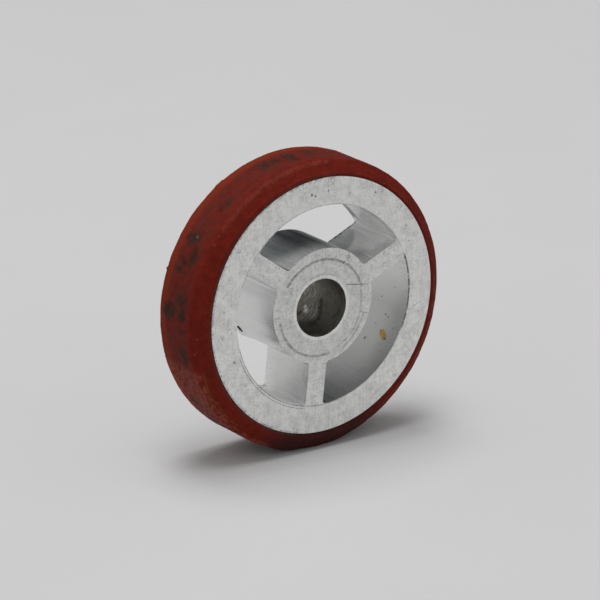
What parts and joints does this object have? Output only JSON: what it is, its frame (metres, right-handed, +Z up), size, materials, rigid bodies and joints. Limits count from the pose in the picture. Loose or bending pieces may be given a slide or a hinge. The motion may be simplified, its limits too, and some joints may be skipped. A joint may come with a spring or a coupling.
{
  "type": "spoked wheel",
  "caption": "Spoked aluminium wheel with a plain bored boss and a bonded red rubber tyre with bevelled shoulders, to run on or be driven by a shaft.",
  "frame": {"origin": "middle of the bore, halfway across the wheel's width", "axes": "+Y along the bore, away from the face in the picture; +Z up with the wheel on its tread; +X to the right, seen from the face in the picture"},
  "size_m": [0.06, 0.0146, 0.06],
  "materials": {
    "aluminium": "sawn and faced matt faces, drawn sheen in the windows",
    "red_rubber": "dull brick red, worn and marked on the tread"
  },
  "bodies": {
    "root": {"wheel_core": "aluminium", "tyre": "red_rubber"}
  },
  "joints": []
}
